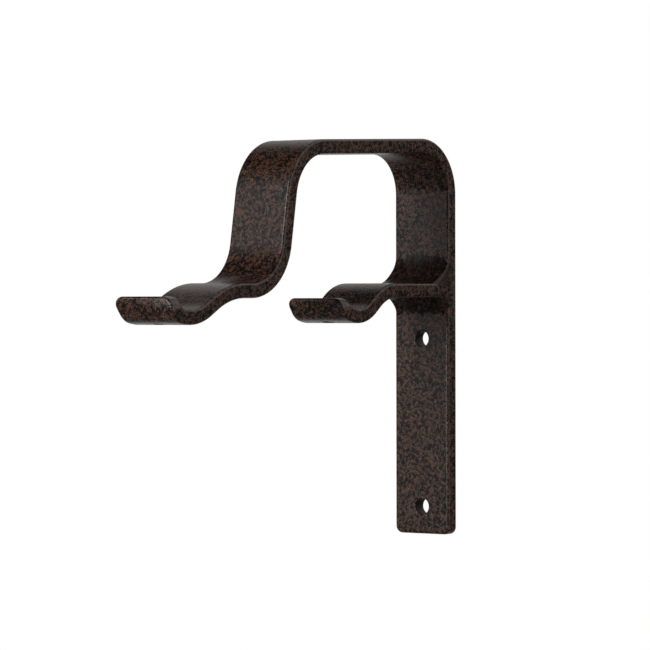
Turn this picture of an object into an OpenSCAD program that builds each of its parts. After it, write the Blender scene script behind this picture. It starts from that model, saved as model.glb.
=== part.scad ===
// Double curtain pole bracket: a bent flat bar with a wall leg and an outer cradle, and a
// shorter bent arm with an inner cradle, joined to the front of the leg by a fillet weld.
// Millimetres. X runs across the bar, the wall is the plane Y = 0 and the arms reach out
// towards -Y, Z is up. The origin is midway between the two wall screws.

/* [Flat bar] */
// Width of both bars
bar_w = 25; // [18:0.5:36]
// Thickness of both bars
bar_t = 5.4; // [4:0.1:7]
// Radius of the rolled long edges
edge_r = 1; // [0.4:0.1:1.4]

/* [Wall leg] */
// Height from the foot of the leg to the highest point of the strap
leg_h = 149.5; // [136:0.5:220]
// Diameter of the two wall screw holes
wall_hole_d = 6.1; // [3:0.1:10]
// Distance between the wall screw holes
wall_hole_pitch = 63.8; // [30:0.1:70]
// Distance from the foot of the leg to the lower screw hole
wall_hole_end = 10.4; // [8:0.1:16]
// Corner radius at the foot of the leg
foot_corner_r = 2.8; // [1:0.1:6]

/* [Cradle positions] */
// Height of the lowest point inside both cradles above the foot of the leg
seat_z = 85.9; // [80:0.1:98]
// Distance from the wall to the lowest point of the inner cradle
inner_reach = 61; // [48:0.1:110]
// Distance from the wall to the lowest point of the outer cradle
outer_reach = 158; // [122:0.1:230]

/* [Outer arm, inside radii and turns of its bends] */
// Inside radius of the bend at the top of the wall leg
top_bend_ri = 15.1; // [8:0.1:24]
// Turn of the bend at the top of the wall leg, degrees
top_bend_angle = 92; // [86:0.5:96]
// Inside radius of the bend at the front of the top run
front_bend_ri = 17.3; // [8:0.1:24]
// Turn of the bend at the front of the top run, degrees
front_bend_angle = 78.5; // [60:0.5:84]
// Inside radius of the bend under the drop
heel_bend_ri = 17.3; // [8:0.1:24]
// Straight length of the level step between the drop and the outer cradle
step_run = 4.1; // [2:0.1:30]

/* [Cradles] */
// Inside radius of the bend that tips the outer bar down into its cradle
outer_tip_ri = 30.6; // [12:0.1:40]
// Slope down into the outer cradle, degrees
outer_tip_angle = 29.4; // [20:0.1:45]
// Straight length of the slope into the outer cradle
outer_tip_run = 4.9; // [2:0.1:24]
// Inside radius of the outer cradle's seat
outer_seat_ri = 17.2; // [12:0.1:24]
// Slope at which the outer cradle's seat passes into its lip, degrees
outer_rise_angle = 10.5; // [8:0.5:40]
// Inside radius of the bend that tips the inner bar down into its cradle
inner_tip_ri = 15.5; // [8:0.1:24]
// Slope down into the inner cradle, degrees
inner_tip_angle = 37.6; // [20:0.1:45]
// Straight length of the slope into the inner cradle
inner_tip_run = 4.2; // [2:0.1:24]
// Inside radius of the inner cradle's seat
inner_seat_ri = 11.7; // [9:0.1:18]
// Slope at which the inner cradle's seat passes into its lip, degrees
inner_rise_angle = 14; // [8:0.5:40]
// Straight length between a cradle's seat and the bend of its lip
rise_run = 1; // [1:0.1:4]
// Inside radius of the bend of both lips
lip_bend_ri = 1.3; // [1.2:0.1:5]
// Slope of both lips, degrees
lip_angle = 90; // [75:0.5:95]
// Straight length at the end of the outer lip
outer_lip_run = 2.8; // [1:0.1:8]
// Straight length at the end of the inner lip
inner_lip_run = 2; // [1:0.1:8]
// Corner radius of the outer lip
outer_lip_r = 3.4; // [1:0.1:6]
// Corner radius of the inner lip
inner_lip_r = 2.8; // [1:0.1:6]
// Diameter of the pole locking screw hole in each cradle
lock_hole_d = 4.5; // [2.5:0.1:5]
// Distance along the bar from a cradle's lowest point out to its screw hole
lock_hole_out = 2.1; // [0:0.1:2.4]

/* [Weld of the inner arm] */
// Leg length of the weld above the inner arm
weld_top = 9.5; // [3:0.1:12]
// Leg length of the weld under the inner arm
weld_under = 5.2; // [3:0.1:7]

/* [Hidden] */
$fn = 96;
// Bar thinned on every face by this much where it is bent
bend_thin = 0.02;
// Length by which each bend reaches into the straight bar on either side of it
bend_lap = 0.4;
// Overrun of every cut past the face it leaves
over = 1;

// Bends are laid out on the bar's centreline
half_t = bar_t / 2;
half_w = bar_w / 2;
top_r = top_bend_ri + half_t;
front_r = front_bend_ri + half_t;
heel_r = heel_bend_ri + half_t;
outer_tip_cr = outer_tip_ri + half_t;
inner_tip_cr = inner_tip_ri + half_t;
outer_seat_r = outer_seat_ri + half_t;
inner_seat_r = inner_seat_ri + half_t;
lip_bend_r = lip_bend_ri + half_t;
foot_z = -wall_hole_end - wall_hole_pitch / 2;
leg_run = leg_h - half_t - top_r;
// Headings of the top run and of the drop, from level, and the turn back to level
top_angle = 90 - top_bend_angle;
drop_angle = top_angle - front_bend_angle;
heel_bend_angle = -drop_angle;

// One row for each straight run and the bend that ends it: run, turn, centreline radius.
// A positive turn is one to the left, seen with the wall on the left and up on top.
function strap_rows(top_run, drop_run) = [
  [leg_run, -top_bend_angle, top_r],
  [top_run, -front_bend_angle, front_r],
  [drop_run, heel_bend_angle, heel_r],
  [step_run, -outer_tip_angle, outer_tip_cr],
  [outer_tip_run, outer_tip_angle + outer_rise_angle, outer_seat_r],
  [rise_run, lip_angle - outer_rise_angle, lip_bend_r],
  [outer_lip_run, 0, 0]
];
function arm_rows(arm_run) = [
  [arm_run, -inner_tip_angle, inner_tip_cr],
  [inner_tip_run, inner_tip_angle + inner_rise_angle, inner_seat_r],
  [rise_run, lip_angle - inner_rise_angle, lip_bend_r],
  [inner_lip_run, 0, 0]
];

function side(turn) = turn < 0 ? -1 : 1;
function ahead(a) = [cos(a), sin(a)];
function left(a) = [-sin(a), cos(a)];

// Centre of the seat, the last bend but one, as [out from the wall, up], for a bar that
// starts at point p with heading a (0 is straight out, 90 is straight up)
function seat_centre(rows, p, a, i = 0) =
  let (
    s = side(rows[i][1]) * rows[i][2],
    c = p + rows[i][0] * ahead(a) + s * left(a),
    b = a + rows[i][1]
  )
  i == len(rows) - 3 ? c : seat_centre(rows, c - s * left(b), b, i + 1);

// The two free runs of the strap bring its cradle to its place
outer_seat = [outer_reach, foot_z + seat_z + outer_seat_ri];
strap_gap = outer_seat - seat_centre(strap_rows(0, 0), [half_t, foot_z], 90);
top_dir = ahead(top_angle);
drop_dir = ahead(drop_angle);
top_run = cross(strap_gap, drop_dir) / cross(top_dir, drop_dir);
drop_run = cross(top_dir, strap_gap) / cross(top_dir, drop_dir);
// The inner arm's height and free run bring its cradle to its place
inner_seat = [inner_reach, foot_z + seat_z + inner_seat_ri];
arm_gap = inner_seat - seat_centre(arm_rows(0), [bar_t, 0], 0);
arm_run = arm_gap[0];
arm_z = arm_gap[1];

// Section of the bar, less a skin: two crossed rectangles and four rolled edges
module bar_section(skin = 0) {
  square([bar_w - 2 * edge_r, bar_t - 2 * skin], center = true);
  square([bar_w - 2 * skin, bar_t - 2 * edge_r], center = true);
  for (x = [-1, 1], y = [-1, 1])
    translate([x * (half_w - edge_r), y * (half_t - edge_r)]) circle(r = edge_r - skin);
}

module bar_run(run) {
  linear_extrude(run) bar_section();
}

// A bend, reaching into the run on either side of it
module bar_bend(turn, r) {
  lap_angle = bend_lap * 180 / (PI * r);
  s = side(turn);
  translate([0, s * r, 0])
    rotate([90, 0, -90 * s])
      rotate([0, 0, -lap_angle])
        rotate_extrude(angle = abs(turn) + 2 * lap_angle)
          translate([r, 0]) rotate(90) bar_section(bend_thin);
}

// Moves its children to the far end of a bend
module past_bend(turn, r) {
  s = side(turn);
  translate([0, s * r, 0]) rotate([-turn, 0, 0]) translate([0, -s * r, 0]) children();
}

// The waste outside the two rounded corners of a bar that ends at the local XY plane
module end_corners(r) {
  for (m = [0, 1])
    mirror([m, 0, 0])
      difference() {
        translate([half_w - r, -half_t - over, -r]) cube([r + over, bar_t + 2 * over, r + over]);
        translate([half_w - r, 0, -r]) rotate([90, 0, 0])
          cylinder(r = r, h = bar_t + 4 * over, center = true);
      }
}

// A bar built row by row along its local Z, with rounded corners at its far end
module bent_bar(rows, corner_r, i = 0) {
  last = len(rows) - 1;
  run = rows[i][0];
  turn = rows[i][1];
  r = rows[i][2];
  if (i == last) {
    difference() {
      bar_run(run);
      translate([0, 0, run]) end_corners(corner_r);
    }
  } else {
    bar_run(run);
    translate([0, 0, run]) {
      difference() {
        bar_bend(turn, r);
        if (i == last - 1)
          past_bend(turn, r) translate([0, 0, rows[last][0]]) end_corners(corner_r);
      }
      past_bend(turn, r) bent_bar(rows, corner_r, i + 1);
    }
  }
}

// The screw hole through a cradle's seat, square to the bar
module lock_hole(seat, r) {
  translate([0, -seat[0], seat[1]])
    rotate([-lock_hole_out * 180 / (PI * r), 0, 0])
      translate([0, 0, -r - half_t - over]) cylinder(d = lock_hole_d, h = bar_t + 2 * over);
}

// The wall leg with the outer arm, folded from one bar
module wall_strap() {
  color([0.22, 0.19, 0.18])
    difference() {
      translate([0, -half_t, foot_z]) bent_bar(strap_rows(top_run, drop_run), outer_lip_r);
      translate([0, -half_t, foot_z]) mirror([0, 0, 1]) end_corners(foot_corner_r);
      for (z = [-1, 1])
        translate([0, over, z * wall_hole_pitch / 2]) rotate([90, 0, 0])
          cylinder(d = wall_hole_d, h = bar_t + 2 * over);
      lock_hole(outer_seat, outer_seat_r);
    }
}

// The short arm that stands on the front of the leg
module inner_arm() {
  color([0.22, 0.19, 0.18])
    difference() {
      translate([0, -bar_t, arm_z]) rotate([90, 0, 0]) bent_bar(arm_rows(arm_run), inner_lip_r);
      lock_hole(inner_seat, inner_seat_r);
    }
}

// The weld around the root of the inner arm, hollow above and below it, flush at the sides
module weld_fillet() {
  color([0.2, 0.17, 0.16])
    difference() {
      translate([-half_w, -bar_t, arm_z]) {
        translate([0, -edge_r, -half_t]) cube([bar_w, 2 * edge_r, bar_t]);
        for (m = [0, 1])
          mirror([0, 0, m])
            weld_side(m == 0 ? weld_top : weld_under);
      }
      translate([0, -half_t, foot_z]) bar_run(leg_run);
      translate([0, -bar_t, arm_z]) rotate([90, 0, 0]) bar_run(arm_run);
    }
}

// One hollow side of the weld, from the bar's rolled edge to the end of its toe
module weld_side(leg) {
  difference() {
    translate([0, -leg, half_t - edge_r]) cube([bar_w, leg + edge_r, leg + edge_r]);
    translate([-over, -leg, half_t + leg]) rotate([0, 90, 0])
      cylinder(r = leg, h = bar_w + 2 * over);
  }
}

wall_strap();
inner_arm();
weld_fillet();
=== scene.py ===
"""Dressed scene of a double curtain pole bracket.

The bracket is two bent flat bars and the weld between them, all under one mottled powder coat.
Sizes are in millimetres until a mesh is made, which is in metres. X runs across the bar, the
wall is the plane Y = 0 and the arms reach out towards -Y, Z is up. The origin is midway between
the two wall screw holes. In the profile plane u is the distance out from the wall, which is -Y.
"""

import logging
import math
from dataclasses import dataclass, replace
from enum import Enum

import bmesh
import bpy
import numpy as np
from mathutils import Matrix, Vector


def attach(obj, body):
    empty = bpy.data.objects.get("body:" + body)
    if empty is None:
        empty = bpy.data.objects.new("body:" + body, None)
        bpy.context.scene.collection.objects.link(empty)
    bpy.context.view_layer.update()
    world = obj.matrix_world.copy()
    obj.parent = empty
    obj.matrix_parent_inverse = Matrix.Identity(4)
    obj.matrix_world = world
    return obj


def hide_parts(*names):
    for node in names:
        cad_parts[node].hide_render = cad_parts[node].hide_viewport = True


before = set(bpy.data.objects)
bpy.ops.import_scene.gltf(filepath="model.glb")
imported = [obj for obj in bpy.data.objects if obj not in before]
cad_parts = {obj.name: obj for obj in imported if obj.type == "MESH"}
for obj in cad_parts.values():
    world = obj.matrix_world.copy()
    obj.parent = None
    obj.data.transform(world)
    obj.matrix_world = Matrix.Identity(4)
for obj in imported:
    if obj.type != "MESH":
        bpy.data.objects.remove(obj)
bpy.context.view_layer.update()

LOG = logging.getLogger("bracket")
MM = 0.001
BODY = "root"
ARRIS_AND_HOLE_SHADE = "arris"


class Face(Enum):
    """The two broad faces of a bar, by the side of its path that they lie on."""

    LEFT = 1.0
    RIGHT = -1.0


class Blend(Enum):
    """Ways in which one colour is laid over another."""

    MIX = "MIX"
    MULTIPLY = "MULTIPLY"


class Shell:
    """Patches of four-sided faces that together close one skin."""

    def __init__(self) -> None:
        """Starts with no patch."""
        self.points: list[np.ndarray] = []
        self.marks: list[np.ndarray] = []
        self.quads: list[np.ndarray] = []
        self.count = 0

    def patch(
        self,
        points: np.ndarray,
        mark: np.ndarray | float = 0.0,
        closed: bool = False,
        keep: np.ndarray | None = None,
    ) -> None:
        """Adds a grid of points as one patch of faces.

        Args:
            points: array of rows by columns by three, in millimetres.
            mark: how far each point lies on a rolled edge, from 0 to 1. It is less than 0
            inside a hole, where the coat is dull and painted darker as shade in the hole.
            closed: whether the last column is joined to the first.
            keep: which cells become faces, as rows less one by columns less one.
        """
        rows, columns = points.shape[:2]
        index = np.arange(rows * columns).reshape(rows, columns) + self.count
        if closed:
            index = np.concatenate([index, index[:, :1]], axis=1)
        cells = np.stack(
            [index[:-1, :-1], index[1:, :-1], index[1:, 1:], index[:-1, 1:]], axis=-1
        )
        cells = cells.reshape(-1, 4) if keep is None else cells[keep]
        self.points.append(points.reshape(-1, 3))
        self.marks.append(np.broadcast_to(mark, (rows, columns)).reshape(-1))
        self.quads.append(cells)
        self.count += rows * columns

    def piece(self, name: str) -> bpy.types.Object:
        """Joins the patches into one smooth, closed mesh object.

        Args:
            name: the object's name.

        Returns:
            The object, linked to the scene, with its place in its mesh.
        """
        mesh = bpy.data.meshes.new(name)
        points = np.concatenate(self.points) * MM
        mesh.from_pydata(points.tolist(), [], np.concatenate(self.quads).tolist())
        layer = mesh.attributes.new(ARRIS_AND_HOLE_SHADE, "FLOAT", "POINT")
        layer.data.foreach_set("value", np.concatenate(self.marks).astype(np.float32))
        work = bmesh.new()
        work.from_mesh(mesh)
        bmesh.ops.remove_doubles(work, verts=work.verts, dist=0.001 * MM)
        rims = [edge for edge in work.edges if len(edge.link_faces) == 1]
        if rims:
            bmesh.ops.holes_fill(work, edges=rims, sides=0)
        bmesh.ops.recalc_face_normals(work, faces=work.faces)
        for face in work.faces:
            face.smooth = True
        work.to_mesh(mesh)
        work.free()
        mesh.update()
        piece = bpy.data.objects.new(name, mesh)
        bpy.context.scene.collection.objects.link(piece)
        return piece


@dataclass(frozen=True)
class Row:
    """One straight run of a bar and the bend that ends it.

    Attributes:
        run: length of the straight run.
        turn: turn of the bend in degrees, positive to the left of the path.
        radius: radius of the bend at the middle of the bar's thickness.
    """

    run: float
    turn: float = 0.0
    radius: float = 0.0


class BarPath:
    """The middle line of a bent bar in the profile plane: lines and arcs, end to end."""

    def __init__(self, u: float, z: float, heading: float, rows: list[Row]) -> None:
        """Chains the rows from a starting point.

        Args:
            u: distance of the start from the wall.
            z: height of the start.
            heading: heading of the start in degrees, 0 straight out and 90 straight up.
            rows: the runs and bends in order.
        """
        at, angle, length = np.array([u, z]), math.radians(heading), 0.0
        table: list[tuple[float, float, float, float, float]] = []
        for row in rows:
            table.append((length, at[0], at[1], angle, 0.0))
            at = at + row.run * np.array([math.cos(angle), math.sin(angle)])
            length += row.run
            if row.turn:
                turn = math.radians(row.turn)
                curve = math.copysign(1.0 / row.radius, turn)
                table.append((length, at[0], at[1], angle, curve))
                middle = angle + turn / 2
                chord = 2 * row.radius * math.sin(abs(turn) / 2)
                at = at + chord * np.array([math.cos(middle), math.sin(middle)])
                angle += turn
                length += row.radius * abs(turn)
        self.table = np.array(table)
        self.length = length

    def place(self, s: np.ndarray, x: np.ndarray, n: np.ndarray) -> np.ndarray:
        """Bends flat bar coordinates into the bracket's frame.

        A part of the path that has curve k starts at p with angle a. A point at distance d
        along it lies at p + d * sinc(k * d / 2) in the direction a + k * d / 2, which is the
        chord of the arc, and then n to the left of the angle a + k * d.

        Args:
            s: distances along the bar.
            x: distances across the bar.
            n: distances through the bar from its middle, positive to the left of the path.

        Returns:
            The points as one array with a last axis of three, in millimetres.
        """
        s, x, n = np.broadcast_arrays(s, x, n)
        row = np.searchsorted(self.table[:, 0], s, side="right") - 1
        start, u, z, angle, curve = np.moveaxis(self.table[np.clip(row, 0, None)], -1, 0)
        far = s - start
        half = curve * far / 2
        chord = far * np.sinc(half / np.pi)
        turned = angle + 2 * half
        out = u + chord * np.cos(angle + half) - n * np.sin(turned)
        up = z + chord * np.sin(angle + half) + n * np.cos(turned)
        return np.stack([x, -out, up], axis=-1)


@dataclass(frozen=True)
class Hole:
    """A round hole through a bar, square to the bar at its own middle.

    Attributes:
        at: distance of its middle along the bar.
        radius: radius of its wall.
        bend: radius of the bend, turning left, that it lies in, or 0 on a straight run.
        rim: radius of its soft rims.
        patch: half the side of the square that is cut from the face around it.
    """

    at: float
    radius: float
    bend: float = 0.0
    rim: float = 0.4
    patch: float = 5.0

    def along(self, reach: np.ndarray, n: np.ndarray | float) -> np.ndarray:
        """Distance along the bar of a point that lies a straight reach off the hole's axis.

        On a straight run it is the reach itself. In a bend of radius r it is
        r * asin(reach / (r - n)), which keeps the wall of the hole a true cylinder.
        """
        if not self.bend:
            return self.at + reach + 0 * n
        return self.at + self.bend * np.arcsin(reach / (self.bend - n))


@dataclass
class FlatBar:
    """The skin of one bent flat bar with rolled edges, rounded corners and holes.

    Attributes:
        path: middle line of the bar.
        holes: the holes through it.
        start_corner: corner radius, seen square to the bar, at the start.
        end_corners: corner radii at the end, on the -X and the +X side.
        lean: how far the lip at the end is turned out on its -X and +X side, in degrees.
        width: width of the bar.
        thick: thickness of the bar.
        roll: radius of its rolled edges.
        ledge: width of the flat ring beside each rolled edge, which keeps the faces flat.
        cells: number of cells across the square around a hole.
    """

    path: BarPath
    holes: tuple[Hole, ...]
    start_corner: float
    end_corners: tuple[float, float]
    lean: tuple[float, float] = (0.0, 0.0)
    width: float = 25.0
    thick: float = 5.4
    roll: float = 1.0
    ledge: float = 0.15
    cells: int = 20

    @property
    def inset(self) -> float:
        """Distance from the bar's outline to the outline of its face grids."""
        return self.roll + self.ledge

    def corner(self, radius: float) -> tuple[np.ndarray, np.ndarray, np.ndarray]:
        """Rows of the face grid in a rounded corner.

        For an angle t from 0 to 90 degrees the row lies r * (1 - cos t) from the end and is
        r * (1 - sin t) narrower on each side, where r is the corner radius less the inset.

        Args:
            radius: the corner radius of the bar.

        Returns:
            Distance from the end, narrowing, and t, for each row.
        """
        r = radius - self.inset
        t = np.radians(np.linspace(0.0, 90.0, 13))
        return r * (1 - np.cos(t)), r * (1 - np.sin(t)), t

    def rows(self) -> tuple[np.ndarray, np.ndarray, np.ndarray]:
        """Stations of the face grid: finer in bends and around holes, coarse on runs.

        Returns:
            Distance along the bar and half width, each on the -X and the +X side, and
            direction of the outline's normal, as the angle by which it is turned from
            straight back, for each row.
        """
        start, start_in, start_t = self.corner(self.start_corner)
        ends = [self.corner(radius) for radius in self.end_corners]
        length = self.path.length - self.inset
        low, high = self.inset + start[-1], length - max(end[0][-1] for end in ends)
        walls = [(h.at - h.patch, h.at + h.patch) for h in self.holes]
        knots = [low, high] + [k for wall in walls for k in wall]
        knots += [
            k
            for k in self.path.table[:, 0]
            if low < k < high and not any(a <= k <= b for a, b in walls)
        ]
        knots = sorted(knots)
        parts = [np.array([low])]
        for a, b in zip(knots[:-1], knots[1:]):
            middle = (a + b) / 2
            curve = self.path.table[np.searchsorted(self.path.table[:, 0], middle) - 1, 4]
            if any(c < middle < d for c, d in walls):
                count = self.cells
            elif curve:
                count = math.ceil((b - a) * abs(curve) / math.radians(2.5))
            else:
                count = math.ceil((b - a) / 5.0)
            parts.append(np.linspace(a, b, count + 1)[1:])
        middle_rows = np.concatenate(parts)[1:-1]
        half = self.width / 2 - self.inset
        s = [np.concatenate([self.inset + start, middle_rows, length - end[0][::-1]])
             for end in ends]
        w = [np.concatenate([half - start_in, np.full(len(middle_rows), half),
                             half - end[1][::-1]]) for end in ends]
        t = np.concatenate([start_t, np.full(len(middle_rows), math.pi / 2),
                            math.pi - start_t[::-1]])
        return np.stack(s, axis=-1), np.stack(w, axis=-1), t

    def place(self, s: np.ndarray, x: np.ndarray, n: np.ndarray) -> np.ndarray:
        """Bends flat bar coordinates into the bracket's frame, with the lip's lean.

        The lip is pushed out by the tangent of its lean times the height above a line along
        X, 1 mm outside the middle of the bar where its last bend starts. The lean changes
        evenly from one side to the other, and comes in along the bend as 3 k squared - 2 k
        cubed, where k is the share of the bend.

        Args:
            s: distances along the bar.
            x: distances across the bar.
            n: distances through the bar from its middle.

        Returns:
            The points, in millimetres.
        """
        points = self.path.place(s, x, n)
        if not any(self.lean):
            return points
        start, stop = self.path.table[-2, 0], self.path.table[-1, 0]
        pivot = self.path.place(np.array(start), np.array(0.0), np.array(-1.0))
        k = np.clip((s - start) / (stop - start), 0.0, 1.0)
        side = points[..., 0] / self.width
        slope = np.tan(np.radians(self.lean[0])) * (0.5 - side)
        slope = slope + np.tan(np.radians(self.lean[1])) * (0.5 + side)
        points[..., 1] -= slope * k * k * (3 - 2 * k) * (points[..., 2] - pivot[2])
        return points

    def columns(self) -> np.ndarray:
        """Columns of the face grid, as shares of its half width, finer around the holes."""
        patch = max((h.patch for h in self.holes), default=5.0)
        inner = patch / (self.width / 2 - self.inset)
        side = np.linspace(inner, 1.0, 7)[1:]
        return np.concatenate([-side[::-1], np.linspace(-inner, inner, self.cells + 1), side])

    def profile(self) -> tuple[np.ndarray, np.ndarray, np.ndarray]:
        """The rolled edge from one broad face to the other.

        It starts on the face grid's outline and crosses the ledge. For an angle a from 90 to
        0 degrees it then lies r * cos a further out and r * (1 - sin a) down, crosses the flat
        side of the bar and turns in again the same way.

        Returns:
            Distance out from the face grid's outline, distance through the bar, and how far
            each point lies on a rolled edge.
        """
        a = np.radians(np.linspace(90.0, 0.0, 7))
        half = self.thick / 2
        out = np.concatenate([[0.0], self.ledge + self.roll * np.cos(a)])
        up = np.concatenate([[half], half - self.roll * (1 - np.sin(a))])
        mark = np.concatenate([[0.0], np.sin(2 * a)])
        flat = np.array([0.15, -0.15]) * (up[-1] - self.ledge) / 0.15
        return (
            np.concatenate([out, out[-1] * np.ones(2), out[::-1]]),
            np.concatenate([up, flat, -up[::-1]]),
            np.concatenate([mark, np.zeros(2), mark[::-1]]),
        )

    def block(self, s: np.ndarray, u: np.ndarray, hole: Hole) -> tuple[int, int, int, int]:
        """First and last row and column of the square of cells around a hole."""
        x = u * (self.width / 2 - self.inset)
        i = [int(np.argmin(abs(s - hole.at - side))) for side in (-hole.patch, hole.patch)]
        j = [int(np.argmin(abs(x - side))) for side in (-hole.patch, hole.patch)]
        return i[0], i[1], j[0], j[1]

    def drill(self, shell: Shell, s: np.ndarray, x: np.ndarray, hole: Hole) -> None:
        """Fills the square around a hole with rings and adds the wall of the hole.

        Each ring is a share of the way from the square's outline to the rim, point by point
        at the same angle about the hole's middle. The wall is a profile carried round it: a
        quarter circle in at one face, a straight wall, and a quarter circle out at the other.

        Args:
            shell: the skin that takes the patches.
            s: distances along the bar of the square's outline.
            x: distances across the bar of the square's outline.
            hole: the hole.
        """
        half = self.thick / 2
        angle = np.arctan2(s - hole.at, x)
        share = np.array([0.0, 0.4, 0.75, 0.93, 1.0])[:, None]
        for face in Face:
            n = face.value * half
            rim = hole.radius + hole.rim
            ring_s = (1 - share) * s + share * hole.along(rim * np.sin(angle), n)
            ring_x = (1 - share) * x + share * rim * np.cos(angle)
            shell.patch(self.place(ring_s, ring_x, np.array(n)), closed=True)
        a = np.radians(np.linspace(0.0, 90.0, 6))
        out = hole.radius + hole.rim * (1 - np.sin(a))
        up = half - hole.rim * (1 - np.cos(a))
        out = np.concatenate([out, out[::-1]])[:, None]
        up = np.concatenate([up, -up[::-1]])[:, None]
        # The rims are marked as rolled edges. The straight wall is marked below 0, which makes the
        # coat dull and paints it darker as shade in the hole.
        mark = 0.6 * np.sin(2 * a) - 3.0 * np.sin(a) ** 8
        mark = np.concatenate([mark, mark[::-1]])[:, None]
        wall_s = hole.along(out * np.sin(angle), up)
        shell.patch(self.place(wall_s, out * np.cos(angle), up), mark, closed=True)

    def build(self, name: str) -> bpy.types.Object:
        """Makes the bar: two face grids, a band around its whole outline, and the holes.

        Args:
            name: the piece's name.

        Returns:
            The bar's mesh object.
        """
        shell = Shell()
        s, w, t = self.rows()
        u = self.columns()
        right = (1 + u) / 2
        flat_s = s[:, :1] * (1 - right) + s[:, 1:] * right
        flat_x = (w[:, :1] * (1 - right) + w[:, 1:] * right) * u
        keep = np.ones((len(s) - 1, len(u) - 1), dtype=bool)
        for hole in self.holes:
            i0, i1, j0, j1 = self.block(s[:, 0], u, hole)
            keep[i0:i1, j0:j1] = False
            ring = (
                np.concatenate([np.full(j1 - j0, i0), np.arange(i0, i1),
                                np.full(j1 - j0, i1), np.arange(i1, i0, -1)]),
                np.concatenate([np.arange(j0, j1), np.full(i1 - i0, j1),
                                np.arange(j1, j0, -1), np.full(i1 - i0, j0)]),
            )
            self.drill(shell, flat_s[ring], flat_x[ring], hole)
        for face in Face:
            n = np.array(face.value * self.thick / 2)
            shell.patch(self.place(flat_s, flat_x, n), keep=keep)
        across = len(u)
        loop_s, loop_x = (
            np.concatenate([flat[0], flat[1:, -1], flat[-1, -2::-1], flat[-2:0:-1, 0]])
            for flat in (flat_s, flat_x)
        )
        turn = np.concatenate([np.zeros(across), t[1:], np.full(across - 1, np.pi), t[-2:0:-1]])
        side = np.concatenate([np.ones(across + len(s) - 1), -np.ones(across + len(s) - 3)])
        out, up, mark = self.profile()
        band_s = loop_s - np.cos(turn) * out[:, None]
        band_x = loop_x + side * np.sin(turn) * out[:, None]
        shell.patch(self.place(band_s, band_x, up[:, None]), mark[:, None], closed=True)
        return shell.piece(name)


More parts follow.
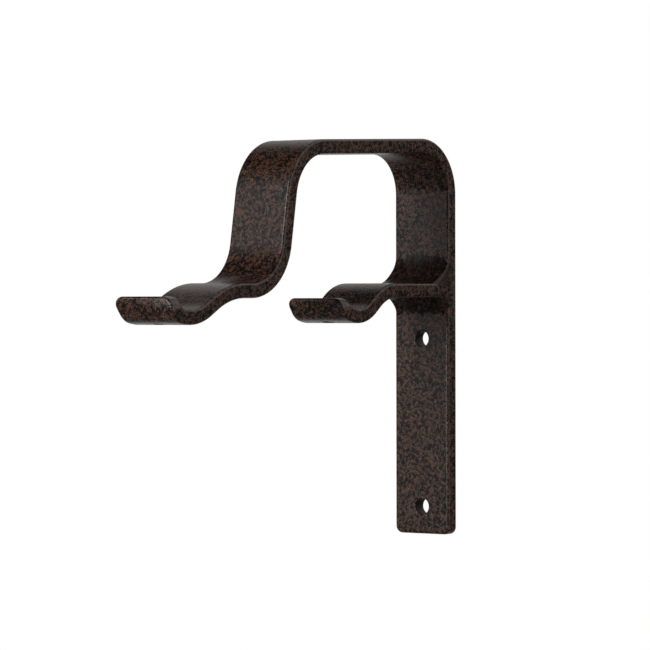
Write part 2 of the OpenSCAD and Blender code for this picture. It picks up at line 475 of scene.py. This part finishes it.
@dataclass
class Fillet:
    """One hollow side of the weld in the corner between the leg and the inner arm.

    Attributes:
        corner_u: distance of the corner from the wall.
        corner_z: height of the corner.
        up: 1 for the side above the arm and -1 for the side under it.
        leg: length of the weld along the leg and along the arm.
        reach: half of the weld's length across the bar.
        roll: radius of its rolled side at the +X end.
        taper: radius of its rounder side at the -X end.
        full: share by which the hollow is filled towards its chord.
        sink: depth of its two toes in the bars.
        behind: depth of its hidden back in the leg.
        below: depth of its hidden back in the arm.
        swell: height of the lumps left by the weld pool.
        ragged: share of its height by which its toe on the leg wanders.
    """

    corner_u: float
    corner_z: float
    up: float
    leg: float
    reach: float = 12.49
    roll: float = 2.3
    taper: float = 1.0
    full: float = 0.18
    sink: float = 0.08
    behind: float = 2.4
    below: float = 2.75
    swell: float = 0.13
    ragged: float = 0.07

    def lumps(self, x: np.ndarray, v: np.ndarray) -> np.ndarray:
        """Height of the bead's lumps, which fade at the toes and at the sides.

        It is a sum of four slanting waves over the front, times the square root of the sine
        of twice the profile's angle, times 1 - (x / reach) ** 6.
        """
        waves = (
            np.sin(1.9 * x + 5.1 * v + self.leg)
            + 0.8 * np.sin(8.3 * v - 1.1 * x)
            + 0.7 * np.sin(3.1 * x - 3.7 * v + 1.0)
            + 0.6 * np.sin(0.62 * x + 2.4 * v - 0.7 * self.leg)
        )
        fade = np.sqrt(np.clip(np.sin(2 * v), 0.0, 1.0)) * (1 - (x / self.reach) ** 6)
        return self.swell * waves * fade

    def front(self, x: np.ndarray, v: np.ndarray) -> np.ndarray:
        """Distance of the front from the centre that lies one leg length off both faces.

        For the profile's angle v the hollow alone is the leg length. The chord between the
        toes lies at leg * cos 45 / cos(v - 45), and the front goes a share of the way there,
        times the square of the sine of 2 v. The sink, times the fourth power of the cosine
        of 2 v, is added at the toes, and the lumps are taken off.
        """
        chord = math.cos(math.pi / 4) / np.cos(v - math.pi / 4)
        filled = 1 - self.full * np.sin(2 * v) ** 2 * (1 - chord)
        return self.leg * filled + self.sink * np.cos(2 * v) ** 4 - self.lumps(x, v)

    def build(self, shell: Shell) -> None:
        """Adds the fillet as one closed tube.

        The profile's angle v runs from 0 on the leg to 90 degrees on the arm. Round the tube
        at each v the point lies at the front's distance plus d from the centre, where d is 0
        on the front, r * (1 - cos a) on a rolled side at r * sin a further out, and the depth
        of the hidden back beyond it. Heights off the arm are then scaled by a slow wave
        along the weld, so that its toe on the leg wanders.

        Args:
            shell: the skin that takes the tube.
        """
        v = np.radians(np.linspace(0.0, 90.0, 31))[:, None]
        a = np.radians(np.linspace(90.0, 0.0, 9))[:-1]
        flat = np.linspace(self.taper - self.reach, self.reach - self.roll, 61)
        near = self.reach - self.roll * (1 - np.sin(a))
        far = self.reach - self.taper * (1 - np.sin(a))
        x = np.concatenate([-far, flat, near[::-1]])
        d = np.concatenate([self.taper * (1 - np.cos(a)), 0 * flat,
                            self.roll * (1 - np.cos(a[::-1]))])
        smooth = np.clip(-(x + 6.0) / 5.0, 0.0, 1.0)
        mark = np.concatenate([0 * a, 0 * flat, np.sin(2 * a[::-1])]) + smooth
        with np.errstate(divide="ignore"):
            back = np.minimum(
                (self.leg + self.behind) / np.cos(v), (self.leg + self.below) / np.sin(v)
            )
        shown = self.front(x[None, :], v) + d[None, :]
        hidden = np.concatenate([[self.reach] * 2, np.linspace(self.reach, -self.reach, 7)[1:-1]])
        hidden = np.concatenate([hidden, [-self.reach] * 2])
        share = np.concatenate([[0.5], np.ones(len(hidden) - 2), [0.5]])
        side = self.leg + np.where(hidden > 0, self.roll, self.taper)
        deep = side + (np.maximum(back, side + 0.05) - side) * share[None, :]
        x = np.broadcast_to(np.concatenate([x, hidden]), (len(v), len(x) + len(hidden)))
        out = np.concatenate([shown, deep], axis=1)
        u = self.corner_u + self.leg - out * np.cos(v)
        wave = 1 + self.ragged * (np.sin(1.1 * x + self.leg) + 0.7 * np.sin(2.7 * x))
        z = self.corner_z + self.up * (self.leg - out * np.sin(v)) * wave
        marks = np.concatenate([mark, 0 * hidden])
        shell.patch(np.stack([x, -u, z], axis=-1), marks[None, :], closed=True)


class Tree:
    """Adds nodes to one node tree."""

    def __init__(self, tree: bpy.types.NodeTree) -> None:
        """Empties the tree and keeps it."""
        tree.nodes.clear()
        self.tree = tree

    def node(
        self,
        kind: str,
        settings: dict[str, object] | None = None,
        sockets: dict[str | int, object] | None = None,
    ) -> bpy.types.Node:
        """Adds one node.

        Args:
            kind: the node's type.
            settings: its own settings, which are set first.
            sockets: a value or a Wire for each input, by name or number.

        Returns:
            The node.
        """
        node = self.tree.nodes.new(kind)
        for name, value in (settings or {}).items():
            setattr(node, name, value)
        for name, value in (sockets or {}).items():
            if isinstance(value, Wire):
                self.tree.links.new(value.socket, node.inputs[name])
            else:
                node.inputs[name].default_value = value
        return node

    def wire(
        self,
        kind: str,
        settings: dict[str, object] | None = None,
        sockets: dict[str | int, object] | None = None,
        output: str | int = 0,
    ) -> "Wire":
        """Adds one node and returns one of its outputs as a Wire."""
        return Wire(self, self.node(kind, settings, sockets).outputs[output])

    def noise(self, place: "Wire", scale: float, detail: float = 2.0, rough: float = 0.5) -> "Wire":
        """A noise of about one lump per 1 / scale millimetres, from 0 to 1."""
        return self.wire(
            "ShaderNodeTexNoise",
            {"noise_dimensions": "3D"},
            {"Vector": place, "Scale": scale, "Detail": detail, "Roughness": rough},
        )

    def step(self, value: "Wire", low: float, high: float) -> "Wire":
        """0 up to low, 1 from high on, and a smooth rise between them."""
        return self.wire(
            "ShaderNodeMapRange",
            {"interpolation_type": "SMOOTHSTEP"},
            {"Value": value, "From Min": low, "From Max": high},
        )

    def blend(
        self,
        factor: "Wire | float",
        under: "Wire | tuple[float, ...]",
        over: "Wire | tuple[float, ...]",
        way: Blend = Blend.MIX,
    ) -> "Wire":
        """Lays one colour over another by a factor.

        Args:
            factor: share of the upper colour.
            under: the lower colour.
            over: the upper colour.
            way: how the two are joined.

        Returns:
            The joined colour.
        """
        return self.wire(
            "ShaderNodeMix",
            {"data_type": "RGBA", "blend_type": way.value},
            {0: factor, 6: under, 7: over},
            output=2,
        )


class Wire:
    """An output socket that takes part in sums. Each sum adds a Math node."""

    def __init__(self, tree: Tree, socket: bpy.types.NodeSocket) -> None:
        """Keeps the tree and the socket."""
        self.tree = tree
        self.socket = socket

    def math(self, operation: str, *values: "Wire | float") -> "Wire":
        """Adds a Math node on these values, in order."""
        return self.tree.wire("ShaderNodeMath", {"operation": operation}, dict(enumerate(values)))

    def __add__(self, other: "Wire | float") -> "Wire":
        """self + other."""
        return self.math("ADD", self, other)

    __radd__ = __add__

    def __sub__(self, other: "Wire | float") -> "Wire":
        """self - other."""
        return self.math("SUBTRACT", self, other)

    def __rsub__(self, other: float) -> "Wire":
        """other - self."""
        return self.math("SUBTRACT", other, self)

    def __mul__(self, other: "Wire | float") -> "Wire":
        """self * other."""
        return self.math("MULTIPLY", self, other)

    __rmul__ = __mul__

    def __abs__(self) -> "Wire":
        """The value without its sign."""
        return self.math("ABSOLUTE", self)

    def clamp(self) -> "Wire":
        """The value kept between 0 and 1."""
        return self.math("MAXIMUM", self.math("MINIMUM", self, 1.0), 0.0)


Colour = tuple[float, float, float, float]


@dataclass(frozen=True)
class VeinCoat:
    """Antique vein powder coat: black with fine copper brown veins, satin and faintly raised.

    Attributes:
        black: colour of the dark ground.
        brown: colour of the veins.
        copper: colour of the brightest flecks in the veins.
        vein: size of the pattern, in millimetres to one lump.
        gloss: roughness of the dark ground.
        dull: roughness of the veins.
        sheen: specular level of the coat.
        relief: height of the veins in metres.
        wear: how much smoother the coat is over an arris.
    """

    black: Colour = (0.0065, 0.006, 0.006, 1.0)
    brown: Colour = (0.095, 0.044, 0.028, 1.0)
    copper: Colour = (0.2, 0.085, 0.048, 1.0)
    vein: float = 1.3
    gloss: float = 0.25
    dull: float = 0.36
    sheen: float = 0.5
    relief: float = 0.00006
    wear: float = 0.11

    def pattern(self, tree: Tree) -> tuple[Wire, Wire, Wire]:
        """The vein pattern, its bright flecks and a fine grain, on the object's coordinates.

        The place is warped by a slow noise, so that the veins curl. A vein lies where a
        second noise, less a share of a third, is high, and a fine grain frays its sides.
        A fleck lies along the middle line of a fourth noise, where the vein is strong.

        Args:
            tree: the tree that takes the nodes.

        Returns:
            The share of vein, the share of fleck, and the grain, each from 0 to 1.
        """
        place = tree.wire("ShaderNodeTexCoord", output="Object")
        place = tree.wire(
            "ShaderNodeVectorMath", {"operation": "SCALE"}, {0: place, "Scale": 1 / MM / self.vein}
        )
        curl = tree.wire(
            "ShaderNodeTexNoise", {}, {"Vector": place, "Scale": 0.8, "Detail": 1.0}, output="Color"
        )
        bent = tree.wire(
            "ShaderNodeVectorMath",
            {"operation": "MULTIPLY_ADD"},
            {0: curl, 1: (1.9, 1.9, 1.9), 2: place},
        )
        grain = tree.noise(place, 2.6, 3.0, 0.65)
        lump = tree.noise(bent, 1.0, 2.0, 0.6)
        crack = abs(tree.noise(bent, 0.75, 1.0) - 0.5)
        vein = tree.step(lump - crack * 0.9 + (grain - 0.5) * 0.35, 0.32, 0.60)
        thread = 1.0 - tree.step(abs(tree.noise(bent, 1.3, 1.0) - 0.5), 0.01, 0.07)
        return vein, vein * thread * tree.step(grain, 0.35, 0.6), grain

    def material(self, name: str) -> bpy.types.Material:
        """Makes the coat's material.

        Args:
            name: the material's name.

        Returns:
            The material.
        """
        material = bpy.data.materials.new(name)
        material.use_nodes = True
        tree = Tree(material.node_tree)
        vein, fleck, grain = self.pattern(tree)
        arris = tree.wire("ShaderNodeAttribute", {"attribute_name": ARRIS_AND_HOLE_SHADE}, output="Fac")
        brown = tree.blend(fleck, self.brown, self.copper)
        # Rolled edges get more brown, as wear. Inside a hole the mark is below 0 and takes brown
        # away, as painted shade.
        cover = (vein + arris * grain * 0.2).clamp()
        colour = tree.blend(cover, self.black, brown)
        shade = tree.step(grain, 0.25, 0.75) * 0.5 + 0.75
        grey = tree.wire("ShaderNodeCombineColor", {}, {0: shade, 1: shade, 2: shade})
        colour = tree.blend(1.0, colour, grey, Blend.MULTIPLY)
        rough = vein * (self.dull - self.gloss) + self.gloss
        rough = rough + (grain - 0.5) * 0.15 - arris * self.wear
        bump = tree.wire(
            "ShaderNodeBump",
            {},
            {"Strength": 0.8, "Distance": self.relief, "Height": vein * 0.5 + grain * 0.9},
        )
        coat = tree.wire(
            "ShaderNodeBsdfPrincipled",
            {},
            {
                "Base Color": colour,
                "Roughness": rough,
                "Specular IOR Level": self.sheen,
                "Normal": bump,
            },
        )
        tree.node("ShaderNodeOutputMaterial", {}, {"Surface": coat})
        return material


@dataclass(frozen=True)
class Cradle:
    """The open cradle at the end of a bar, from the bend that tips it down to its lip.

    Attributes:
        reach: distance of the middle of its seat from the wall.
        tip: slope down into the cradle, in degrees.
        tip_ri: inside radius of the bend that tips the bar down.
        slope: straight length of the slope.
        seat_ri: inside radius of the seat.
        rise: slope at which the seat passes into the lip, in degrees.
        lip: straight length at the end of the lip, which stands upright.
        corners: corner radii of the lip, on the -X and the +X side.
        lean: how far the lip is turned out on its -X and +X side, in degrees.
    """

    reach: float
    tip: float
    tip_ri: float
    slope: float
    seat_ri: float
    rise: float
    lip: float
    corners: tuple[float, float]
    lean: tuple[float, float]


@dataclass
class Bracket:
    """The welded bracket: the folded strap, the inner arm and the weld.

    Attributes:
        thick: thickness of both bars.
        leg_h: height of the leg, from its foot to the top of its bend.
        hole_pitch: distance between the two wall screw holes.
        hole_end: distance from the foot to the lower wall screw hole.
        hole_r: radius of the wall screw holes.
        foot_corner: corner radius of the foot.
        seat_z: height of the lowest point of both seats above the foot.
        top_ri: inside radius of the bend at the top of the leg.
        top_turn: turn of that bend, in degrees.
        fold_ri: inside radius of the bends above and under the drop.
        front_turn: turn of the bend above the drop, in degrees.
        step: straight length of the level step after the drop.
        outer: cradle of the strap.
        inner: cradle of the arm.
        rise_run: straight length between a seat and its lip's bend.
        lip_ri: inside radius of the bend of both lips.
        lock_r: radius of the pole locking screw holes.
        lock_out: distance along the bar from the lowest point of a cradle to its screw hole.
        root_depth: depth in the leg at which the arm's skin starts.
        root_corner: corner radius of that hidden end.
        weld_top: leg length of the weld above the arm.
        weld_under: leg length of the weld under the arm.
    """

    thick: float = 5.4
    leg_h: float = 149.5
    hole_pitch: float = 63.8
    hole_end: float = 10.4
    hole_r: float = 3.05
    foot_corner: float = 2.8
    seat_z: float = 85.9
    top_ri: float = 15.1
    top_turn: float = 92.0
    fold_ri: float = 17.3
    front_turn: float = 78.5
    step: float = 4.1
    outer: Cradle = Cradle(
        reach=158.0, tip=29.4, tip_ri=30.6, slope=4.9, seat_ri=17.2, rise=10.5, lip=2.8,
        corners=(3.4, 5.2), lean=(17.0, -5.0),
    )
    inner: Cradle = Cradle(
        reach=61.0, tip=37.6, tip_ri=15.5, slope=4.2, seat_ri=11.7, rise=14.0, lip=2.0,
        corners=(2.8, 4.6), lean=(12.0, 4.0),
    )
    rise_run: float = 1.0
    lip_ri: float = 1.3
    lock_r: float = 2.25
    lock_out: float = 2.1
    root_depth: float = 0.95
    root_corner: float = 1.3
    weld_top: float = 12.0
    weld_under: float = 7.0

    @property
    def foot_z(self) -> float:
        """Height of the foot of the leg."""
        return -self.hole_end - self.hole_pitch / 2

    def middle(self, inside: float) -> float:
        """Radius at the middle of the bar's thickness of a bend with this inside radius."""
        return inside + self.thick / 2

    def rows(self, cradle: Cradle, run: float) -> list[Row]:
        """Rows of a cradle, with the bar's last level run before it.

        Args:
            cradle: the cradle.
            run: length of the level run.

        Returns:
            The rows.
        """
        return [
            Row(run, -cradle.tip, self.middle(cradle.tip_ri)),
            Row(cradle.slope, cradle.tip + cradle.rise, self.middle(cradle.seat_ri)),
            Row(self.rise_run, 90.0 - cradle.rise, self.middle(self.lip_ri)),
            Row(cradle.lip),
        ]

    def gap(self, path: BarPath, cradle: Cradle) -> np.ndarray:
        """How far out and up a path's seat still has to move to lie in its place.

        The seat is the last bend but one. Its middle lies one radius to the left of the
        path where the bend starts.

        Args:
            path: a path that ends in the cradle.
            cradle: the cradle.

        Returns:
            The distance out from the wall and the distance up.
        """
        _, u, z, angle, curve = path.table[-4]
        middle = np.array([u - math.sin(angle) / curve, z + math.cos(angle) / curve])
        place = np.array([cradle.reach, self.foot_z + self.seat_z + cradle.seat_ri])
        return place - middle

    def lock(self, path: BarPath, cradle: Cradle) -> Hole:
        """The screw hole of a cradle, a little way out from its lowest point."""
        seat = self.middle(cradle.seat_ri)
        lowest = path.table[-4, 0] + math.radians(cradle.tip) * seat
        return Hole(lowest + self.lock_out, self.lock_r, seat, 0.3, 3.0)

    def strap_path(self, top: float, drop: float) -> BarPath:
        """The strap's middle line, for a length of its top run and of its drop.

        Args:
            top: length of the run from the top of the leg to the front bend.
            drop: length of the run from the front bend to the heel bend.

        Returns:
            The path.
        """
        bend = self.middle(self.top_ri)
        fold = self.middle(self.fold_ri)
        rows = [
            Row(self.leg_h - self.thick / 2 - bend, -self.top_turn, bend),
            Row(top, -self.front_turn, fold),
            Row(drop, self.top_turn + self.front_turn - 90.0, fold),
            *self.rows(self.outer, self.step),
        ]
        return BarPath(self.thick / 2, self.foot_z, 90.0, rows)

    def strap(self) -> bpy.types.Object:
        """Builds the wall leg and the outer arm, folded from one bar.

        The top run and the drop are the two lengths along their own directions that
        together carry the seat to its place.
        """
        angles = np.radians([90.0 - self.top_turn, 90.0 - self.top_turn - self.front_turn])
        ways = np.stack([np.cos(angles), np.sin(angles)])
        top, drop = np.linalg.solve(ways, self.gap(self.strap_path(0.0, 0.0), self.outer))
        path = self.strap_path(top, drop)
        holes = (
            Hole(self.hole_end, self.hole_r),
            Hole(self.hole_end + self.hole_pitch, self.hole_r),
            self.lock(path, self.outer),
        )
        return FlatBar(
            path, holes, self.foot_corner, self.outer.corners, self.outer.lean
        ).build("strap")

    @property
    def arm_place(self) -> np.ndarray:
        """Length of the arm's level run off the leg, and height of its middle."""
        return self.gap(BarPath(self.thick, 0.0, 0.0, self.rows(self.inner, 0.0)), self.inner)

    def arm(self) -> bpy.types.Object:
        """Builds the inner arm, with its root just inside the leg's front edge."""
        run, height = self.arm_place
        rows = self.rows(self.inner, run + self.root_depth)
        path = BarPath(self.thick - self.root_depth, height, 0.0, rows)
        holes = (self.lock(path, self.inner),)
        return FlatBar(
            path, holes, self.root_corner, self.inner.corners, self.inner.lean
        ).build("arm")

    def weld(self) -> bpy.types.Object:
        """Builds the weld's two hollow sides, whose hidden backs meet inside the arm."""
        shell = Shell()
        height = self.arm_place[1]
        for up, leg in ((1.0, self.weld_top), (-1.0, self.weld_under)):
            Fillet(self.thick, height + up * self.thick / 2, up, leg).build(shell)
        return shell.piece("weld")

    def dress(self, piece: bpy.types.Object, node: str, coat: bpy.types.Material) -> None:
        """Puts the coat on a piece, hangs it from the body and hides the solid that it stands for.

        Args:
            piece: the piece.
            node: the solid's name.
            coat: the material.
        """
        piece.data.materials.append(coat)
        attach(piece, BODY)
        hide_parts(node)
        LOG.info("%s: %d faces", piece.name, len(piece.data.polygons))

    def build(self) -> None:
        """Builds and dresses all three pieces."""
        coat = VeinCoat()
        # The bead's coat is the same coat made darker. Its black, brown and copper are painted shade
        # for the corner between the leg and the arm, under the top run. Its roughness and sheen are
        # its own.
        bead = replace(coat, black=(0.004, 0.003, 0.0025, 1.0), brown=(0.034, 0.016, 0.01, 1.0),
                       copper=(0.15, 0.06, 0.03, 1.0), gloss=0.5, dull=0.6, sheen=0.35, wear=0.28)
        coat, bead = coat.material("vein_coat"), bead.material("vein_coat_on_bead_painted_shade")
        self.dress(self.strap(), "wall_strap", coat)
        self.dress(self.arm(), "inner_arm", coat)
        self.dress(self.weld(), "weld_fillet", bead)


@dataclass(frozen=True)
class SoftBox:
    """A soft rectangular lamp that looks at the bracket.

    Attributes:
        name: the lamp's name.
        azimuth: direction that it stands in, in degrees, 0 in front of the wall.
        elevation: its height above the horizon, in degrees.
        distance: its distance in metres.
        width: its width in metres.
        height: its height in metres.
        power: its power in watts.
    """

    name: str
    azimuth: float
    elevation: float
    distance: float
    width: float
    height: float
    power: float

    def build(self, target: Vector) -> bpy.types.Object:
        """Makes the lamp.

        Args:
            target: the point that it looks at.

        Returns:
            The lamp's object.
        """
        data = bpy.data.lights.new(self.name, "AREA")
        data.shape = "RECTANGLE"
        data.size, data.size_y = self.width, self.height
        data.energy = self.power
        lamp = bpy.data.objects.new(self.name, data)
        away = direction(self.azimuth, self.elevation)
        lamp.location = target + away * self.distance
        lamp.rotation_euler = away.to_track_quat("Z", "Y").to_euler()
        bpy.context.scene.collection.objects.link(lamp)
        return lamp


def direction(azimuth: float, elevation: float) -> Vector:
    """Unit vector from the bracket towards a viewer, by azimuth and elevation in degrees."""
    a, e = math.radians(azimuth), math.radians(elevation)
    return Vector((math.sin(a) * math.cos(e), -math.cos(a) * math.cos(e), math.sin(e)))


@dataclass(frozen=True)
class Viewpoint:
    """The camera that took the photograph, as fitted to its outline.

    Attributes:
        azimuth: direction that it stands in, in degrees.
        elevation: its height above the horizon, in degrees.
        roll: its turn about its own axis, in degrees.
        distance: its distance from the pivot in metres.
        lens: its focal length on a sensor 36 mm wide.
        aside: how far right of the pivot it is aimed, in metres.
        above: how far above the pivot it is aimed, in metres.
    """

    azimuth: float = 37.76
    elevation: float = 0.639
    roll: float = -0.107
    distance: float = 1.3641
    lens: float = 207.16
    aside: float = 0.00856
    above: float = 0.00495

    def build(self, pivot: Vector) -> bpy.types.Object:
        """Makes the camera and gives it to the scene.

        Args:
            pivot: the point that the azimuth and the distance are measured from.

        Returns:
            The camera's object.
        """
        back = direction(self.azimuth, self.elevation)
        level = Vector((0, 0, 1)).cross(back).normalized()
        upright = back.cross(level)
        turn = Matrix.Rotation(math.radians(self.roll), 3, back)
        right, up = turn @ level, turn @ upright
        place = pivot + back * self.distance
        aim = (place - (pivot + right * self.aside + up * self.above)).normalized()
        side = up.cross(aim).normalized()
        axes = Matrix((side, aim.cross(side), aim)).transposed()
        data = bpy.data.cameras.new("camera")
        data.lens, data.sensor_width = self.lens, 36.0
        data.clip_start, data.clip_end = 0.05, 60.0
        camera = bpy.data.objects.new("camera", data)
        camera.matrix_world = Matrix.Translation(place) @ axes.to_4x4()
        bpy.context.scene.collection.objects.link(camera)
        bpy.context.scene.camera = camera
        return camera


@dataclass(frozen=True)
class Panel:
    """A broad pale panel of the surround, which lights the bracket and shows in its gloss.

    Attributes:
        azimuth: direction of its middle, in degrees, 0 in front of the wall.
        elevation: height of its middle above the horizon, in degrees.
        strength: its strength, where 1 is white.
    """

    azimuth: float
    elevation: float
    strength: float

    def light(self, tree: Tree, way: Wire) -> Wire:
        """Its strength in a direction: whole near its middle, fading out at 44 degrees off.

        Args:
            tree: the tree that takes the nodes.
            way: the direction.

        Returns:
            The strength.
        """
        facing = tree.wire(
            "ShaderNodeVectorMath",
            {"operation": "DOT_PRODUCT"},
            {0: way, 1: tuple(direction(self.azimuth, self.elevation))},
            output="Value",
        )
        return tree.step(facing, 0.72, 0.96) * self.strength


@dataclass(frozen=True)
class Studio:
    """White studio: a soft box, broad panels, and a pale floor far below the bracket.

    Attributes:
        pivot: the middle of the bracket, in metres.
        fill: panel on the left, in front.
        side: panel on the right, which the bars' sides face.
        high: panel up behind the right shoulder.
        rear: panel behind the wall's plane, which the level tops mirror.
        key: tall soft box in front, a little to the left.
        floor_z: height of the floor, in metres.
        floor_half: half of the floor's side, in metres.
        pool: radius of the part of the floor that shows its shade, in metres.
        ambient: strength of the surround between the panels.
        pale: colour of the floor.
        dim: colour of the floor in the coat's gloss, in front of the bracket.
        reflected_glow: brightness of the floor in the coat's gloss, behind the bracket on the -X side.
    """

    pivot: tuple[float, float, float] = (0.0, -0.080, 0.0327)
    fill: Panel = Panel(-45.0, 0.0, 0.5)
    side: Panel = Panel(90.0, 0.0, 1.0)
    high: Panel = Panel(135.0, 45.0, 0.7)
    rear: Panel = Panel(-160.0, 20.0, 0.5)
    key: SoftBox = SoftBox("key", -10.0, 15.0, 1.2, 0.3, 0.9, 7.0)
    floor_z: float = -0.5
    floor_half: float = 12.0
    pool: float = 1.4
    ambient: float = 0.02
    pale: Colour = (0.93, 0.93, 0.93, 1.0)
    dim: Colour = (0.15, 0.15, 0.15, 1.0)
    reflected_glow: float = 0.6

    def seen(self, tree: Tree) -> tuple[Wire, Wire]:
        """1 for rays from the camera or through glass, and 1 for rays seen in gloss."""
        path = tree.node("ShaderNodeLightPath")
        straight = [Wire(tree, path.outputs[name]) for name in
                    ("Is Camera Ray", "Is Transmission Ray")]
        return (straight[0] + straight[1]).clamp(), Wire(tree, path.outputs["Is Glossy Ray"])

    def surround(self) -> None:
        """Makes the world: white where it is seen, and the panels' light elsewhere."""
        world = bpy.data.worlds.new("surround")
        world.use_nodes = True
        tree = Tree(world.node_tree)
        straight = self.seen(tree)[0]
        way = tree.wire("ShaderNodeTexCoord", output="Generated")
        panels = (self.fill, self.side, self.high, self.rear)
        glow = sum((panel.light(tree, way) for panel in panels), self.ambient)
        strength = straight + (1.0 - straight) * glow
        light = tree.wire(
            "ShaderNodeBackground", {}, {"Color": (1.0, 1.0, 1.0, 1.0), "Strength": strength}
        )
        tree.node("ShaderNodeOutputWorld", {}, {"Surface": light})
        bpy.context.scene.world = world

    def floor(self) -> bpy.types.Object:
        """Makes the floor, which is lit as any surface near the bracket and white far off. In the
        coat's gloss it is a dim grey, and behind the bracket on the -X side it glows white as a
        painted reflection.
        """
        half, z = self.floor_half, self.floor_z
        mesh = bpy.data.meshes.new("floor")
        corners = [(-half, -half, z), (half, -half, z), (half, half, z), (-half, half, z)]
        mesh.from_pydata(corners, [], [(0, 1, 2, 3)])
        floor = bpy.data.objects.new("floor", mesh)
        bpy.context.scene.collection.objects.link(floor)
        material = bpy.data.materials.new("pale_floor")
        material.use_nodes = True
        tree = Tree(material.node_tree)
        place = tree.wire("ShaderNodeTexCoord", output="Object")
        flat = tree.wire(
            "ShaderNodeVectorMath", {"operation": "MULTIPLY"}, {0: place, 1: (1.0, 1.0, 0.0)}
        )
        away = tree.wire("ShaderNodeVectorMath", {"operation": "LENGTH"}, {0: flat}, output="Value")
        pale = tree.wire("ShaderNodeBsdfDiffuse", {}, {"Color": self.pale})
        dim = tree.wire("ShaderNodeBsdfDiffuse", {}, {"Color": self.dim})
        straight, gloss = self.seen(tree)
        axes = tree.node("ShaderNodeSeparateXYZ", {}, {0: place})
        behind = tree.step(Wire(tree, axes.outputs["Y"]), 0.0, 0.7)
        behind = behind * (1.0 - tree.step(Wire(tree, axes.outputs["X"]), -0.4, 0.3))
        # Glossy rays see the floor as a dim grey: painted shade in the coat's reflections.
        plain = tree.wire("ShaderNodeMixShader", {}, {0: gloss, 1: pale, 2: dim})
        white = tree.wire("ShaderNodeEmission", {}, {"Color": (1.0, 1.0, 1.0, 1.0), "Strength": 1.0})
        # Far off the floor is white to the camera. In the coat's gloss, behind the bracket on the -X
        # side, it glows white: a painted reflection.
        share = straight * tree.step(away, self.pool * 0.5, self.pool) + gloss * behind * self.reflected_glow
        mixed = tree.wire("ShaderNodeMixShader", {}, {0: share, 1: plain, 2: white})
        tree.node("ShaderNodeOutputMaterial", {}, {"Surface": mixed})
        mesh.materials.append(material)
        return floor

    def build(self) -> None:
        """Builds the surround, the floor, the soft box and the camera."""
        scene = bpy.context.scene
        scene.view_settings.view_transform = "Standard"
        self.surround()
        self.floor()
        pivot = Vector(self.pivot)
        self.key.build(pivot)
        LOG.info("lamp %s", self.key.name)
        Viewpoint().build(pivot)


def main() -> None:
    """Builds the bracket and its studio in order."""
    logging.basicConfig(level=logging.INFO)
    Bracket().build()
    Studio().build()


if __name__ == "__main__":
    main()
